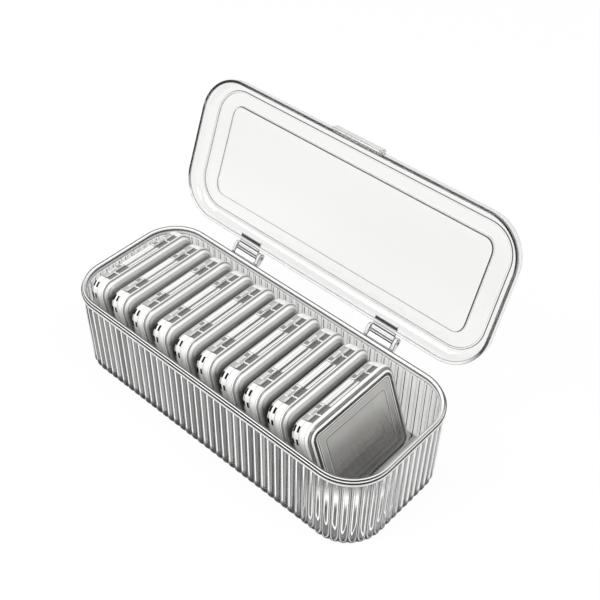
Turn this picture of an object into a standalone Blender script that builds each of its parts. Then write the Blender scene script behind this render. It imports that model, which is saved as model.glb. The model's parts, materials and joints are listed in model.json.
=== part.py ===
"""Clear reeded jewelry box with a hinged lid and a row of ten hinged mini cases.

X runs along the box, -Y is its front and Z is up. The origin is the centre of the flat
underside. The main lid is modelled shut on the rim and then swung open about its hinge.
Each mini case is modelled upright in its own frame and then leant back in the box.
"""
import bpy
import bmesh
from math import cos, sin, pi, radians
from mathutils import Matrix, Vector

# Fits
seat_gap = 0.0003
turning_gap = 0.0004

# Box
rim_length = 0.220
rim_width = 0.088
rim_corner = 0.025
box_height = 0.055
rim_band = 0.003
rim_overhang = 0.0005
reed_height = 0.0007
reed_count = 116
box_wall = 0.0017
box_floor = 0.0025
cavity_round = 0.003
wall_draft = 0.0006
foot_inset = 0.0022
foot_rise = 0.0008
foot_height = 0.0028
corner_steps = 7

# Main lid, whose sizes are those of the shut lid
lid_inset = 0.0005
lid_height = 0.009
lid_wall = 0.0018
lid_shoulder = 0.006
panel_inset = 0.010
panel_step = 0.0008
open_angle = radians(111)

# Finger tab on the front of the lid
tab_width = 0.033
tab_drop = 0.0026
tab_rise = 0.0046
tab_thickness = 0.0014
tab_bite = 0.0010

# Main hinges
hinge_setback = 0.0045
hinge_rise = 0.002
hinge_spacing = 0.102
hinge_steps = 12
pin_radius = 0.001
barrel_radius = 0.0024
ear_radius = 0.0026
ear_thickness = 0.0022
ear_foot = 0.0038
ear_bite = 0.0017
leaf_width = 0.0152
leaf_thickness = 0.0016
leaf_reach = 0.0022
groove_count = 3
groove_width = 0.0008
groove_depth = 0.0005
heel_width = 0.0016
heel_drop = 0.0022

# Mini cases
case_count = 10
case_side_gap = 0.0063
case_height = 0.0565
case_corner = 0.0085
case_corner_steps = 3
case_wall = 0.0012
case_edge_round = 0.0012
pillow_rise = 0.002
pillow_inset = 0.0033

# The row of mini cases, which fills the box from its -X end to a free space at its +X end
first_case_gap = 0.0069
case_gap = 0.0016
end_case_gap = 0.0006
free_end = 0.0262
row_lean = radians(12)
end_lean = radians(20)

# Hinge of a mini case, set just below its top edge
case_pin_radius = 0.0006
case_pin_depth = 0.001
case_barrel_radius = 0.0014
case_barrel_steps = 8
base_knuckle = 0.0042
lid_knuckle = 0.0048
knuckle_margin = 0.0006
web_reach = 0.0012
web_depth = 0.0006

# Slots in the front corner of a mini case's base
slot_width = 0.0013
slot_length = 0.003
slot_places = (-0.0040, -0.0013)
slot_angles = (radians(38), radians(86))

# Worked out from the sizes above
cavity_inset = rim_overhang + reed_height + box_wall
axis_y = rim_width / 2 + hinge_setback
axis_z = box_height + hinge_rise
lid_base_z = box_height + seat_gap
lid_back_y = rim_width / 2 - lid_inset
pin_bore = pin_radius + seat_gap
case_bore = case_pin_radius + seat_gap
case_axis_z = case_height - case_pin_depth
relief_depth = case_barrel_radius + turning_gap
block_length = 2 * base_knuckle + lid_knuckle + 2 * turning_gap
case_width = rim_width - 2 * (cavity_inset + case_side_gap)
straight_top = case_width - 2 * case_corner
block_centre = straight_top / 2 - block_length / 2 - knuckle_margin

# The depth that lets the row fill its length. The last case leans further than the others
# by extra_lean, until the top of its pillow meets the face of the case before it.
extra_lean = end_lean - row_lean
pillow_top = case_height - case_edge_round - pillow_inset
row_gaps = (case_count - 2) * case_gap + pillow_top * sin(extra_lean) + end_case_gap
row_ends = 2 * cavity_inset + first_case_gap + case_height * sin(row_lean) + free_end
half_depths = cos(row_lean) + (2 * case_count - 3 + cos(extra_lean)) / cos(row_lean)
half_depth = (rim_length - row_ends - row_gaps / cos(row_lean)) / half_depths
case_edge = 2 * (half_depth - pillow_rise) - seat_gap
case_pitch = (2 * half_depth + case_gap) / cos(row_lean)
end_reach = half_depth * (1 + cos(extra_lean)) + pillow_top * sin(extra_lean) + end_case_gap
end_case_pitch = end_reach / cos(row_lean)
first_case_x = (-rim_length / 2 + cavity_inset + first_case_gap
                + case_height * sin(row_lean) + half_depth * cos(row_lean))

# Turns a flat drawing of Y and Z so that its thickness runs along X
side_view = Matrix(((0, 0, 1), (1, 0, 0), (0, 1, 0))).to_4x4()


def clear_scene():
    for thing in list(bpy.data.objects):
        bpy.data.objects.remove(thing, do_unlink=True)


def new_collection(name):
    group = bpy.data.collections.new(name)
    bpy.context.scene.collection.children.link(group)
    return group


def clear_plastic(name, colour, roughness):
    material = bpy.data.materials.new(name)
    material.use_nodes = True
    shader = material.node_tree.nodes["Principled BSDF"]
    shader.inputs["Base Color"].default_value = (*colour, 1)
    shader.inputs["Roughness"].default_value = roughness
    shader.inputs["Metallic"].default_value = 0
    shader.inputs["IOR"].default_value = 1.49
    shader.inputs["Transmission Weight"].default_value = 1
    return material


def steel(name):
    material = bpy.data.materials.new(name)
    material.use_nodes = True
    shader = material.node_tree.nodes["Principled BSDF"]
    shader.inputs["Base Color"].default_value = (0.62, 0.62, 0.63, 1)
    shader.inputs["Roughness"].default_value = 0.3
    shader.inputs["Metallic"].default_value = 1
    return material


def new_object(name, shape, group, material=None):
    """Makes an object from a bmesh or a mesh and puts it in a collection."""
    if isinstance(shape, bmesh.types.BMesh):
        mesh = bpy.data.meshes.new(name)
        bmesh.ops.recalc_face_normals(shape, faces=shape.faces)
        shape.to_mesh(mesh)
        shape.free()
    else:
        mesh = shape
    thing = bpy.data.objects.new(name, mesh)
    group.objects.link(thing)
    if material:
        mesh.materials.clear()
        mesh.materials.append(material)
    return thing


def as_cutter(thing):
    thing.hide_render = True
    thing.display_type = "WIRE"
    return thing


def combine(thing, operation, other):
    change = thing.modifiers.new(operation.lower(), "BOOLEAN")
    change.operation = operation
    change.solver = "EXACT"
    change.object = other


def evaluated_mesh(thing, name):
    """Returns the mesh that the object's modifiers or curve make, with its seams welded."""
    depsgraph = bpy.context.evaluated_depsgraph_get()
    mesh = bpy.data.meshes.new_from_object(thing.evaluated_get(depsgraph))
    mesh.name = name
    shape = bmesh.new()
    shape.from_mesh(mesh)
    bmesh.ops.remove_doubles(shape, verts=shape.verts, dist=seat_gap / 100)
    shape.to_mesh(mesh)
    shape.free()
    return mesh


def smooth_round(thing, angle):
    thing.data.shade_smooth()
    thing.data.set_sharp_from_angle(angle=angle)


def box_shape(low, high):
    shape = bmesh.new()
    add_box(shape, low, high)
    return shape


def add_box(shape, low, high, turn=None):
    """Adds a box between two corners, turned about the world axes if asked."""
    low, high = Vector(low), Vector(high)
    made = bmesh.ops.create_cube(shape, size=1)["verts"]
    bmesh.ops.scale(shape, vec=high - low, verts=made)
    bmesh.ops.translate(shape, vec=(low + high) / 2, verts=made)
    if turn:
        bmesh.ops.transform(shape, matrix=turn, verts=made)


def add_rod(shape, radius, centre, length, axis, steps):
    """Adds a closed cylinder whose axis runs along X or Y."""
    turn = Matrix.Rotation(pi / 2, 4, "Y" if axis == "X" else "X")
    half_step = Matrix.Rotation(pi / steps, 4, "Z")
    place = Matrix.Translation(centre) @ turn @ half_step
    bmesh.ops.create_cone(shape, cap_ends=True, segments=steps, radius1=radius,
                          radius2=radius, depth=length, matrix=place)


def rounded_block(length, width, height, corner, steps):
    """Makes a block standing on z = 0 whose four upright edges are rounded."""
    shape = box_shape((-length / 2, -width / 2, 0), (length / 2, width / 2, height))
    upright = [edge for edge in shape.edges if abs(edge.verts[0].co.z - edge.verts[1].co.z) > 0]
    bmesh.ops.bevel(shape, geom=upright, offset=corner, segments=steps,
                    affect="EDGES", profile=0.5, material=-1)
    return shape


def level_face(shape, height):
    """Finds the largest flat face that lies at a height."""
    level = [face for face in shape.faces if abs(face.normal.z) > 0.99
             and abs(face.calc_center_median().z - height) < seat_gap / 2]
    return max(level, key=lambda face: face.calc_area())


def round_level(shape, height, radius, steps):
    """Rounds the ring of edges round the flat face at a height."""
    shape.normal_update()
    ring = list(level_face(shape, height).edges)
    bmesh.ops.bevel(shape, geom=ring, offset=radius, segments=steps,
                    affect="EDGES", profile=0.5, material=-1)
    shape.normal_update()


def raise_panel(shape, height, inset, rise):
    """Insets the flat face at a height and moves the inner face out or in."""
    bmesh.ops.inset_individual(shape, faces=[level_face(shape, height)],
                               thickness=inset, depth=rise, use_even_offset=True)


def extruded(name, rings, thickness, group):
    """Extrudes a flat drawing, an outline and any holes, half its thickness each way."""
    curve = bpy.data.curves.new(name, "CURVE")
    curve.dimensions = "2D"
    curve.fill_mode = "BOTH"
    curve.extrude = thickness / 2
    for ring in rings:
        spline = curve.splines.new("POLY")
        spline.points.add(len(ring) - 1)
        spline.use_cyclic_u = True
        for point, (x, y) in zip(spline.points, ring):
            point.co = (x, y, 0, 1)
    drawing = bpy.data.objects.new(name + "_drawing", curve)
    group.objects.link(drawing)
    bpy.context.view_layer.update()
    mesh = evaluated_mesh(drawing, name)
    bpy.data.objects.remove(drawing, do_unlink=True)
    return mesh


def arc(radius, start, end, steps):
    """Points of an arc about the origin, both ends included."""
    turns = [start + (end - start) * step / steps for step in range(steps + 1)]
    return [(radius * cos(turn), radius * sin(turn)) for turn in turns]


def circle(radius, steps):
    return arc(radius, pi / steps, 2 * pi + pi / steps, steps)[:-1]


def rim_walk(inset, count):
    """Evenly spaced points round the rim's outline, moved in, each with its outward direction."""
    corner = rim_corner - inset
    half_long = rim_length / 2 - rim_corner
    half_wide = rim_width / 2 - rim_corner
    quarter = corner * pi / 2
    legs = [half_wide, quarter, 2 * half_long, quarter, 2 * half_wide, quarter,
            2 * half_long, quarter, half_wide]
    turns = [0, pi / 2, 0, pi / 2, 0, pi / 2, 0, pi / 2, 0]
    for index in range(count):
        left = sum(legs) * index / count
        place = Vector((half_long + corner, 0))
        heading = pi / 2
        for leg, turn in zip(legs, turns):
            part = min(left, leg)
            if turn:
                centre = place + corner * Vector((-sin(heading), cos(heading)))
                heading += turn * part / leg
                place = centre + corner * Vector((sin(heading), -cos(heading)))
            else:
                place = place + part * Vector((cos(heading), sin(heading)))
            left -= part
            if left <= 0:
                break
        yield place, Vector((sin(heading), -cos(heading)))


def reeded_ring(inset, reed, height):
    """One level of the reeded wall, with four points to each convex reed."""
    swell_shares = (0, 0.8, 1, 0.8)
    points = []
    for index, (place, outward) in enumerate(rim_walk(inset + reed_height, 4 * reed_count)):
        spot = place + outward * reed * swell_shares[index % 4]
        points.append((spot.x, spot.y, height))
    return points


def reeded_tub():
    """Lofts the wall from its plain foot to its reeded top, and closes both ends."""
    levels = (
        (rim_overhang + wall_draft + foot_inset, 0, 0),
        (rim_overhang + wall_draft + foot_inset / 3, reed_height / 2, foot_rise),
        (rim_overhang + wall_draft, reed_height, foot_height),
        (rim_overhang, reed_height, box_height - rim_band / 2),
    )
    shape = bmesh.new()
    rings = []
    for inset, reed, height in levels:
        rings.append([shape.verts.new(point) for point in reeded_ring(inset, reed, height)])
    for lower, upper in zip(rings, rings[1:]):
        for index in range(len(lower)):
            shape.faces.new((lower[index - 1], lower[index], upper[index], upper[index - 1]))
    shape.faces.new(rings[0])
    shape.faces.new(rings[-1])
    return shape


def ear_outline():
    """Side view of a hinge ear about the pin: it rises from the rim and ends in a round."""
    inner_y = -hinge_setback - ear_bite
    outer_y = -hinge_setback + seat_gap / 3
    top_z = -hinge_rise - seat_gap
    return ([(inner_y, top_z - ear_foot), (outer_y, top_z - ear_foot)]
            + arc(ear_radius, -pi / 3, 3 * pi / 4, hinge_steps)
            + [(outer_y, top_z), (inner_y, top_z)])


def leaf_outline():
    """Side view of the shut hinge leaf: a grooved strap, a barrel and a heel that stops it."""
    under = lid_base_z - axis_z
    over = under + leaf_thickness
    tip = lid_back_y - lid_wall - leaf_reach - axis_y
    points = [(tip, over), (tip, under)]
    run = -barrel_radius - tip
    for groove in range(groove_count):
        start = tip + run * (groove + 1) / (groove_count + 1) - groove_width / 2
        points += [(start, under), (start, under + groove_depth),
                   (start + groove_width, under + groove_depth), (start + groove_width, under)]
    stop_y = -hinge_setback + seat_gap
    heel = [(stop_y, -heel_drop), (stop_y, -heel_drop - heel_width)]
    points += arc(barrel_radius, -3 * pi / 4, -pi / 3, hinge_steps // 3)
    points += [turned_shut(point) for point in heel]
    points += arc(barrel_radius, -pi / 12, pi, hinge_steps // 2)
    points.append((-barrel_radius, over))
    return points


def turned_shut(point):
    """Turns a point of the open lid's side view to where it lies when the lid is shut."""
    y, z = point
    return (y * cos(open_angle) - z * sin(open_angle),
            y * sin(open_angle) + z * cos(open_angle))


def tab_outline():
    """Side view of the finger tab, which hooks over the front of the rim."""
    wall_y = -lid_back_y + tab_bite
    inner_y = -rim_width / 2 - turning_gap
    outer_y = inner_y - tab_thickness
    step_z = lid_base_z + seat_gap
    top_z = lid_base_z + tab_rise
    low_z = box_height - tab_drop
    return [(wall_y, top_z), (wall_y, step_z), (inner_y, step_z), (inner_y, low_z),
            (outer_y + tab_thickness / 3, low_z), (outer_y, low_z + tab_thickness / 2),
            (outer_y, top_z - tab_thickness), (outer_y + tab_thickness, top_z)]


def make_box_body(parts, cutters):
    material = clear_plastic("clear_box", (0.93, 0.94, 0.94), 0.04)
    body = new_object("box_body", reeded_tub(), parts, material)
    band = rounded_block(rim_length, rim_width, rim_band, rim_corner, corner_steps)
    bmesh.ops.translate(band, vec=(0, 0, box_height - rim_band), verts=band.verts)
    combine(body, "UNION", as_cutter(new_object("rim_band_solid", band, cutters)))
    cavity = rounded_block(rim_length - 2 * cavity_inset, rim_width - 2 * cavity_inset, box_height,
                           rim_corner - cavity_inset, corner_steps)
    round_level(cavity, 0, cavity_round, 2)
    bmesh.ops.translate(cavity, vec=(0, 0, box_floor), verts=cavity.verts)
    combine(body, "DIFFERENCE", as_cutter(new_object("cavity_cutter", cavity, cutters)))
    ears = bmesh.new()
    bores = bmesh.new()
    for side in (-1, 1):
        for end in (-1, 1):
            middle = side * hinge_spacing / 2 + end * (leaf_width / 2 + turning_gap + ear_thickness / 2)
            ear = extruded("ear", [ear_outline()], ear_thickness, cutters)
            ear.transform(Matrix.Translation((middle, axis_y, axis_z)) @ side_view)
            ears.from_mesh(ear)
        add_rod(bores, pin_bore, (side * hinge_spacing / 2, axis_y, axis_z), 2 * leaf_width, "X",
                hinge_steps)
    combine(body, "UNION", as_cutter(new_object("hinge_ears_solid", ears, cutters)))
    combine(body, "DIFFERENCE", as_cutter(new_object("ear_bore_cutter", bores, cutters)))
    smooth_round(body, radians(25))


def make_main_lid(parts, cutters, hinge):
    """The lid's mesh is drawn shut, about the hinge axis, and its empty swings it open."""
    shape = rounded_block(rim_length - 2 * lid_inset, rim_width - 2 * lid_inset, lid_height,
                          rim_corner - lid_inset, corner_steps)
    shape.normal_update()
    bmesh.ops.delete(shape, geom=[level_face(shape, 0)], context="FACES_ONLY")
    round_level(shape, lid_height, lid_shoulder, 3)
    raise_panel(shape, lid_height, panel_inset, 0)
    raise_panel(shape, lid_height, panel_step, -panel_step)
    bmesh.ops.translate(shape, vec=(0, -axis_y, lid_base_z - axis_z), verts=shape.verts)
    lid = new_object("main_lid", shape, parts, clear_plastic("clear_lid", (0.94, 0.95, 0.95), 0.03))
    skin = lid.modifiers.new("wall", "SOLIDIFY")
    skin.thickness = lid_wall
    skin.offset = -1
    skin.use_even_offset = True
    tab = extruded("tab", [tab_outline()], tab_width, cutters)
    tab.transform(Matrix.Translation((0, -axis_y, -axis_z)) @ side_view)
    tab_solid = as_cutter(new_object("tab_solid", tab, cutters))
    combine(lid, "UNION", tab_solid)
    notches = bmesh.new()
    for side in (-1, 1):
        middle = side * hinge_spacing / 2
        reach = leaf_width / 2 + seat_gap
        back = lid_back_y - axis_y
        low = (middle - reach, back - 2 * lid_wall, lid_base_z - axis_z - seat_gap)
        high = (middle + reach, back + lid_wall, lid_base_z - axis_z + leaf_thickness + seat_gap)
        add_box(notches, low, high)
    notch_cutter = as_cutter(new_object("hinge_notch_cutter", notches, cutters))
    combine(lid, "DIFFERENCE", notch_cutter)
    for thing in (lid, tab_solid, notch_cutter):
        thing.parent = hinge
    smooth_round(lid, radians(35))


def make_main_hinges(parts, cutters, hinge):
    leaf_material = clear_plastic("clear_hinge", (0.80, 0.81, 0.82), 0.12)
    pin_material = steel("pin_steel")
    for name, side in (("left", -1), ("right", 1)):
        middle = side * hinge_spacing / 2
        leaf_mesh = extruded("leaf_" + name, [leaf_outline(), circle(pin_bore, hinge_steps)],
                             leaf_width, cutters)
        leaf_mesh.transform(side_view)
        leaf = new_object("hinge_leaf_" + name, leaf_mesh, parts, leaf_material)
        leaf.parent = hinge
        leaf.location = (middle, 0, 0)
        smooth_round(leaf, radians(35))
        rod = bmesh.new()
        add_rod(rod, pin_radius, (0, 0, 0), leaf_width + 2 * turning_gap + 2 * ear_thickness, "X",
                hinge_steps)
        pin = new_object("hinge_pin_" + name, rod, parts, pin_material)
        pin.location = (middle, axis_y, axis_z)
        smooth_round(pin, radians(35))


def half_skin():
    """Open skin of half a mini case, lying with its mouth down: a raised pillow in a low step."""
    half_edge = case_edge / 2
    shape = rounded_block(case_height, case_width, half_edge, case_corner, case_corner_steps)
    shape.normal_update()
    bmesh.ops.delete(shape, geom=[level_face(shape, 0)], context="FACES_ONLY")
    round_level(shape, half_edge, case_edge_round, 1)
    raise_panel(shape, half_edge, pillow_inset, pillow_rise)
    bmesh.ops.translate(shape, vec=(0, 0, seat_gap / 2), verts=shape.verts)
    return shape


def half_case(name, stand_up, cutters):
    """A shell half, stood upright with its foot at z = 0."""
    shape = half_skin()
    bmesh.ops.transform(shape, matrix=stand_up, verts=shape.verts)
    bmesh.ops.translate(shape, vec=(0, 0, case_height / 2), verts=shape.verts)
    half = new_object(name, shape, cutters)
    skin = half.modifiers.new("wall", "SOLIDIFY")
    skin.thickness = case_wall
    skin.offset = -1
    skin.use_even_offset = True
    return half


def knuckle_middles():
    """Where the knuckles of the two hinge blocks lie along Y: the base's and the lid's."""
    reach = lid_knuckle / 2 + turning_gap + base_knuckle / 2
    base = [side * block_centre + end * reach for side in (-1, 1) for end in (-1, 1)]
    return base, [side * block_centre for side in (-1, 1)]


def barrels(radius, middles, length):
    shape = bmesh.new()
    for middle in middles:
        add_rod(shape, radius, (0, middle, case_axis_z), length, "Y", case_barrel_steps)
    return shape


def case_base_mesh(cutters):
    """The half on the -X side, which carries the outer knuckles and the corner slots."""
    lay_minus = Matrix(((0, 0, -1), (0, 1, 0), (1, 0, 0))).to_4x4()
    half = half_case("case_base_template", lay_minus, cutters)
    base_middles, lid_middles = knuckle_middles()
    pockets = bmesh.new()
    for middle in lid_middles:
        reach = lid_knuckle / 2 + turning_gap
        add_box(pockets, (-relief_depth, middle - reach, case_height - 2 * case_wall),
                (case_wall, middle + reach, case_height + case_wall))
    knuckles = barrels(case_barrel_radius, base_middles, base_knuckle)
    bores = barrels(case_bore, [0], case_width - 2 * case_corner + case_wall)
    slots = bmesh.new()
    centre = Matrix.Translation((0, -straight_top / 2, case_height - case_corner))
    for angle in slot_angles:
        turn = centre @ Matrix.Rotation(angle, 4, "X")
        for place in slot_places:
            add_box(slots, (place - slot_width / 2, -slot_length / 2, case_corner - 2 * case_wall),
                    (place + slot_width / 2, slot_length / 2, case_corner + case_wall), turn)
    tools = []
    for tool_name, shape, operation in (("base_pocket_cutter", pockets, "DIFFERENCE"),
                                        ("base_knuckle_solid", knuckles, "UNION"),
                                        ("base_bore_cutter", bores, "DIFFERENCE"),
                                        ("slot_cutter", slots, "DIFFERENCE")):
        tools.append(as_cutter(new_object(tool_name, shape, cutters)))
        combine(half, operation, tools[-1])
    return finished_half(half, tools, "case_base")


def case_lid_mesh(cutters):
    """The half on the +X side, whose mesh is drawn about its hinge axis."""
    lay_plus = Matrix(((0, 0, 1), (0, -1, 0), (1, 0, 0))).to_4x4()
    half = half_case("case_lid_template", lay_plus, cutters)
    lid_middles = knuckle_middles()[1]
    reach = straight_top / 2 - seat_gap
    relief = box_shape((-case_wall, -reach, case_height - 2 * case_wall),
                       (relief_depth, reach, case_height + case_wall))
    webs = bmesh.new()
    for middle in lid_middles:
        add_box(webs, (0, middle - lid_knuckle / 2, case_axis_z - web_depth),
                (relief_depth + web_reach, middle + lid_knuckle / 2, case_axis_z + web_depth))
    knuckles = barrels(case_barrel_radius, lid_middles, lid_knuckle)
    bores = barrels(case_bore, [0], case_width - 2 * case_corner)
    tools = []
    for tool_name, shape, operation in (("lid_relief_cutter", relief, "DIFFERENCE"),
                                        ("lid_web_solid", webs, "UNION"),
                                        ("lid_knuckle_solid", knuckles, "UNION"),
                                        ("lid_bore_cutter", bores, "DIFFERENCE")):
        tools.append(as_cutter(new_object(tool_name, shape, cutters)))
        combine(half, operation, tools[-1])
    mesh = finished_half(half, tools, "case_lid")
    mesh.transform(Matrix.Translation((0, 0, -case_axis_z)))
    return mesh


def finished_half(half, tools, name):
    """Keeps the finished mesh, which every case shares, and removes what shaped it."""
    bpy.context.view_layer.update()
    mesh = evaluated_mesh(half, name)
    for thing in [half] + tools:
        bpy.data.objects.remove(thing, do_unlink=True)
    return mesh


def case_places():
    """Foot position along X and lean of each case; the last has slid down a little further."""
    places = [(first_case_x + index * case_pitch, row_lean) for index in range(case_count - 1)]
    places.append((places[-1][0] + end_case_pitch, end_lean))
    return places


def empty_at(name, place, group, parent=None):
    marker = bpy.data.objects.new(name, None)
    marker.empty_display_size = case_edge
    marker.location = place
    marker.parent = parent
    group.objects.link(marker)
    return marker


def make_cases(parts, cutters):
    base_material = clear_plastic("clear_case_base", (0.90, 0.90, 0.89), 0.05)
    lid_material = clear_plastic("clear_case_lid", (0.92, 0.92, 0.91), 0.05)
    pin_material = steel("case_pin_steel")
    base_mesh = case_base_mesh(cutters)
    lid_mesh = case_lid_mesh(cutters)
    pin_length = block_length + 2 * seat_gap
    pins = {}
    for end_name, side in (("front", -1), ("rear", 1)):
        shape = bmesh.new()
        add_rod(shape, case_pin_radius, (0, side * block_centre, 0), pin_length, "Y", case_barrel_steps)
        pins[end_name] = shape
    pin_meshes = {}
    for end_name, shape in pins.items():
        first = new_object("pin_template", shape, cutters)
        pin_meshes[end_name] = first.data
        bpy.data.objects.remove(first, do_unlink=True)
    for index, (foot_x, lean) in enumerate(case_places()):
        name = "case_%02d" % (index + 1)
        foot_z = box_floor + seat_gap + case_edge / 2 * sin(lean)
        foot = empty_at(name + "_foot", (foot_x, 0, foot_z), parts)
        foot.rotation_euler = (0, -lean, 0)
        hinge = empty_at(name + "_hinge", (0, 0, case_axis_z), parts, foot)
        base = new_object(name + "_base", base_mesh, parts, base_material)
        base.parent = foot
        lid = new_object(name + "_lid", lid_mesh, parts, lid_material)
        lid.parent = hinge
        for end_name, mesh in pin_meshes.items():
            pin = new_object(name + "_pin_" + end_name, mesh, parts, pin_material)
            pin.parent = hinge
            smooth_round(pin, radians(50))
        for thing in (base, lid):
            smooth_round(thing, radians(35))


def main():
    clear_scene()
    parts = new_collection("jewelry_box")
    cutters = new_collection("cutters")
    make_box_body(parts, cutters)
    lid_hinge = empty_at("lid_hinge", (0, axis_y, axis_z), parts)
    make_main_lid(parts, cutters, lid_hinge)
    make_main_hinges(parts, cutters, lid_hinge)
    lid_hinge.rotation_euler = (-open_angle, 0, 0)
    make_cases(parts, cutters)
    bpy.context.view_layer.update()


main()
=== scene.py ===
# %% [markdown]
# # A clear reeded jewelry box
#
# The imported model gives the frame: every hinge, slide and solid is already in place. Each
# step below builds one piece of the real box, or one of its finishes, around that frame.

# %% Load the frame
import json
from math import atan2, cos, pi, radians, sin, sqrt

import bmesh
import bpy
from mathutils import Matrix, Vector


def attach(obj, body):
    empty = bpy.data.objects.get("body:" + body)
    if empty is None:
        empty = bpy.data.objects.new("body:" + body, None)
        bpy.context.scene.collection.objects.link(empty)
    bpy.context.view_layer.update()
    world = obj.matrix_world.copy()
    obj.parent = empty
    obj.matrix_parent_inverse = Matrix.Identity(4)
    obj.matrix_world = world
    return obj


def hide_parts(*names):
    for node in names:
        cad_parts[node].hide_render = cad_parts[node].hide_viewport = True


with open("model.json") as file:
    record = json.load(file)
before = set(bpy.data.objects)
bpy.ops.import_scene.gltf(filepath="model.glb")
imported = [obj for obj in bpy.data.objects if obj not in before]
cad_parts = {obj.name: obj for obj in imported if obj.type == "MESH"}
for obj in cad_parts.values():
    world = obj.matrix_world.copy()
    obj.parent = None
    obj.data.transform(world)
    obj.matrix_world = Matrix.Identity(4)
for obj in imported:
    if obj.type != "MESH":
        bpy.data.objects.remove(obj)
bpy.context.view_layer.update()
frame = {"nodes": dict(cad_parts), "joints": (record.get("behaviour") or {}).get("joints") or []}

# %% [markdown]
# ## The camera
#
# The camera was fitted to the box's corners and edges. It looks down by 43 degrees and along
# the box by 41, from two thirds of a metre, and is rolled by a little over a degree. Its three
# directions are worked out first, because a rotation matrix is just those three side by side.

# %% Camera
azimuth = radians(41.1974)
elevation = radians(43.4167)
roll = 0.0227
distance = 0.66196
target = Vector((-0.03874, 0.08133, 0.0022))
back = Vector((sin(azimuth) * cos(elevation), -cos(azimuth) * cos(elevation), sin(elevation)))
right = Vector((cos(azimuth), sin(azimuth), 0))
up = back.cross(right)
rolled_right = right * cos(roll) + up * sin(roll)
rolled_up = up * cos(roll) - right * sin(roll)
lens = bpy.data.cameras.new("view")
lens.lens = 61.88
camera = bpy.data.objects.new("view", lens)
turn = Matrix((rolled_right, rolled_up, back)).transposed()
camera.matrix_world = Matrix.Translation(target + back * distance) @ turn.to_4x4()
bpy.context.scene.collection.objects.link(camera)
bpy.context.scene.camera = camera
bpy.context.scene.view_settings.view_transform = "Standard"
print("The camera stands at", [round(v, 3) for v in camera.location])


# %% [markdown]
# ## Finishes
#
# All the clear pieces are injection moulded acrylic, a plastic as clear as glass. What the eye
# reads in it is light bent at the walls, so every piece has real walls and the plastic bends
# light by 1.49. Long ways through it darken a little, which draws the rims and corners grey.

# %% Colour and node helpers
def linear(hex_colour):
    """Turns an sRGB hex colour into linear light, with an alpha of one."""
    shares = [int(hex_colour[i:i + 2], 16) / 255 for i in (1, 3, 5)]
    return [s / 12.92 if s <= 0.04045 else ((s + 0.055) / 1.055) ** 2.4 for s in shares] + [1]


def add(tree, kind, settings=None, **inputs):
    """Adds a node, sets its properties, and sets or links its inputs by name or number.

    A node given as an input is linked by its first output.
    """
    node = tree.nodes.new(kind)
    for name, value in (settings or {}).items():
        setattr(node, name, value)
    for name, value in inputs.items():
        socket = node.inputs[int(name[1:]) if name[1:].isdigit() else name.replace("_", " ")]
        if isinstance(value, bpy.types.Node):
            value = value.outputs[0]
        if isinstance(value, bpy.types.NodeSocket):
            tree.links.new(value, socket)
        else:
            socket.default_value = value
    return node


def new_material(name):
    material = bpy.data.materials.new(name)
    material.use_nodes = True
    material.node_tree.nodes.clear()
    return material, material.node_tree


# %% [markdown]
# ### Stripes on a moulding
#
# Clear plastic stops being clear where it bends sharply. A polished edge gathers light and
# looks white, and the fold beside it turns the view away and looks black. In this box those
# lines are under a millimetre wide, finer than bent light alone would draw them. So they are
# painted: every clear piece carries an attribute, mould, that says where on its moulding a
# point lies, and a pattern of stripes over it gives two shares: how far the plastic scatters
# light as a white painted highlight, and how dark it is as painted shade. The lines stay on
# the piece from all sides.

# %% Stripes
edge_blur = 0.08


def stripe(tree, value, middle, half, soft=edge_blur):
    """A stripe of a pattern: 1 within a half width of a middle, gone after a soft edge."""
    off = add(tree, "ShaderNodeMath", {"operation": "SUBTRACT"}, _0=value, _1=middle)
    away = add(tree, "ShaderNodeMath", {"operation": "ABSOLUTE"}, _0=off)
    return add(tree, "ShaderNodeMapRange", Value=away, From_Min=half, From_Max=half + soft,
               To_Min=1.0, To_Max=0.0)


def ramp(tree, value, start, end, first=0.0, last=1.0):
    """A share that goes evenly from a first to a last tone between two places."""
    return add(tree, "ShaderNodeMapRange", Value=value, From_Min=start, From_Max=end, To_Min=first,
               To_Max=last)


def strongest(tree, *shares):
    """Lays shares of a pattern over each other, so that the strongest shows."""
    total = shares[0]
    for share in shares[1:]:
        total = add(tree, "ShaderNodeMath", {"operation": "MAXIMUM"}, _0=total, _1=share)
    return total


def within(tree, *shares):
    """Keeps the first share of a pattern only as far as all the others allow it."""
    total = shares[0]
    for share in shares[1:]:
        total = add(tree, "ShaderNodeMath", {"operation": "MULTIPLY"}, _0=total, _1=share)
    return total


def lines(tree, value, rows):
    """Stripes by rows of a middle, a half width and a tone."""
    return strongest(tree, *[within(tree, stripe(tree, value, middle, half), tone)
                             for middle, half, tone in rows])


# %% [markdown]
# ### Moulded clear plastic
#
# A mould is polished, but never perfectly: the melt leaves slow waves about 15 mm long, and
# handling leaves a bloom of marks about 1.5 mm wide. The waves go into the bump, so that lines
# behind a panel wander slightly, and the marks go into the roughness. The pattern's scatter is
# its painted highlight and takes the place of transmission, and its darkness is its painted
# shade and mixes the colour towards black. Acrylic takes up very little light, so the grey
# that it soaks is set in the piece's volume. A pattern may give a third share, how level a
# reeded wall is shaded: steep reeds seen from within would throw the view up to the dark of
# the room, where the real ones show the bright table.

# %% Clear plastic
wave_length = 0.015
mark_size = 0.0015
wave_depth = 0.0002
wave_strength = 0.25
least_rough, most_rough = 0.6, 1.6
acrylic_bend = 1.49
# The white of painted highlights and the black of painted shade.
painted_highlight_white = "#f6f6f5"
painted_shade_black = "#0a0a0a"
soaked = "#868686"


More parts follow.
